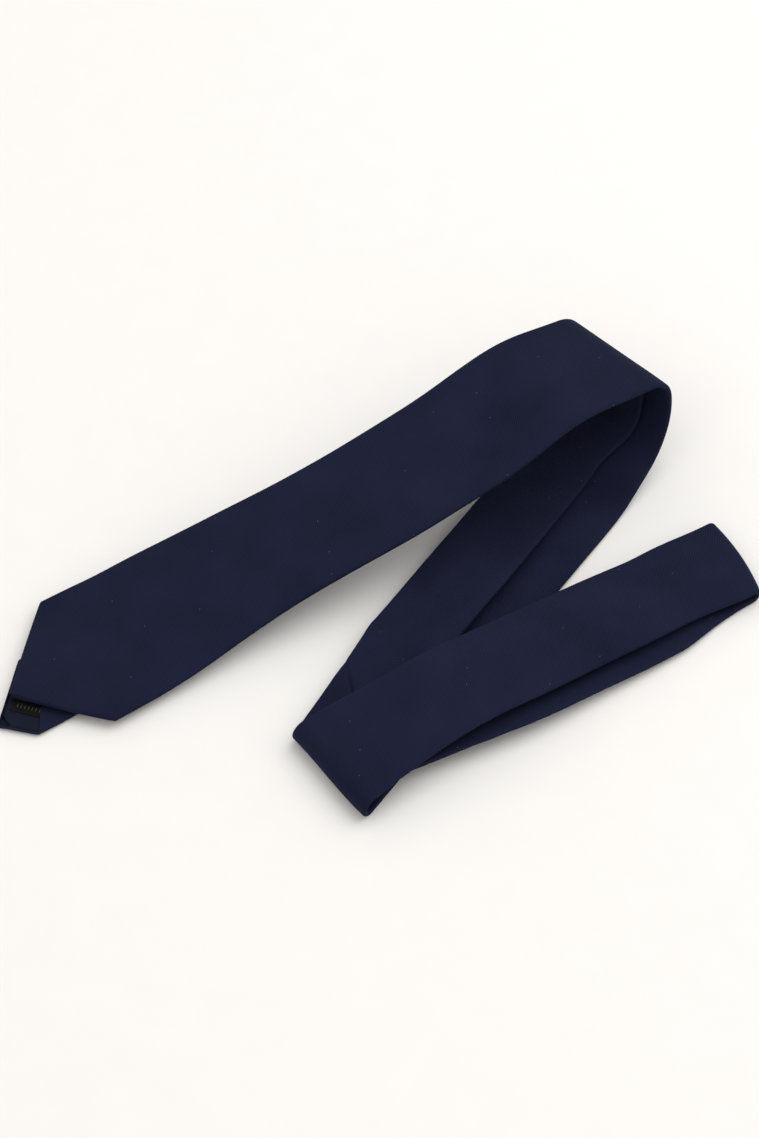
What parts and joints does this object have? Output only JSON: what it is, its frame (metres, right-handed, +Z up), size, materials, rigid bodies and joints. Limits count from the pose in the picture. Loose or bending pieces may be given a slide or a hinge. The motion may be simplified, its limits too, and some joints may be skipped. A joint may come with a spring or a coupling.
{
  "type": "necktie",
  "caption": "Slim navy twill necktie folded in half at the neck and laid down in two more open folds, blade over tail, with interlining, tipping, keeper and bar tacks.",
  "frame": {"origin": "centre of the folded tie's footprint, on the surface it lies on", "axes": "+X to the right of the blade end as laid, +Y away from the open side of the folds, +Z up"},
  "size_m": [0.2996, 0.2274, 0.0436],
  "materials": {
    "navy_twill": "fine diagonal twill weave with a low sheen",
    "wool_interlining": "brushed wool and cotton interlining",
    "navy_satin": "smooth satin lining",
    "navy_thread": "sewing thread",
    "black_label": "woven satin label with plain woven bars"
  },
  "bodies": {
    "middle": {"blade_shell_fold": "navy_twill", "blade_shell_upper": "navy_twill", "neck_shell_folds": "navy_twill", "tail_shell": "navy_twill", "blade_interlining_fold": "wool_interlining", "blade_interlining_upper": "wool_interlining", "neck_interlining_folds": "wool_interlining", "tail_interlining": "wool_interlining", "tail_tipping": "navy_satin", "blade_slip_stitch_fold": "navy_thread", "blade_slip_stitch_upper": "navy_thread", "neck_slip_stitch_folds": "navy_thread", "tail_slip_stitch": "navy_thread", "tail_bar_tack": "navy_thread", "blade_seam_thread": "navy_thread", "tail_seam_thread": "navy_thread", "tail_label": "black_label"},
    "blade_end": {"blade_shell": "navy_twill", "blade_interlining": "wool_interlining", "blade_tipping": "navy_satin", "blade_slip_stitch": "navy_thread", "blade_bar_tack": "navy_thread", "keeper_loop": "navy_twill"},
    "neck_part": {"neck_shell": "navy_twill", "neck_interlining": "wool_interlining", "neck_slip_stitch": "navy_thread"}
  },
  "joints": [
    {"name": "blade_lift", "type": "hinge", "parent": "middle", "child": "blade_end", "pos_m": [0.09618, 0.08137, 0.0215], "axis": [-0.6997, 0.7145, 0], "range_deg": [0, 95], "deforming": ["blade_shell_fold", "blade_interlining_fold", "blade_slip_stitch_fold"]},
    {"name": "neck_lift", "type": "hinge", "parent": "middle", "child": "neck_part", "pos_m": [-0.01878, -0.09016, 0.0059], "axis": [0.7108, -0.7034, 0], "range_deg": [0, 95], "deforming": ["neck_shell_folds", "neck_interlining_folds", "neck_slip_stitch_folds"]}
  ]
}
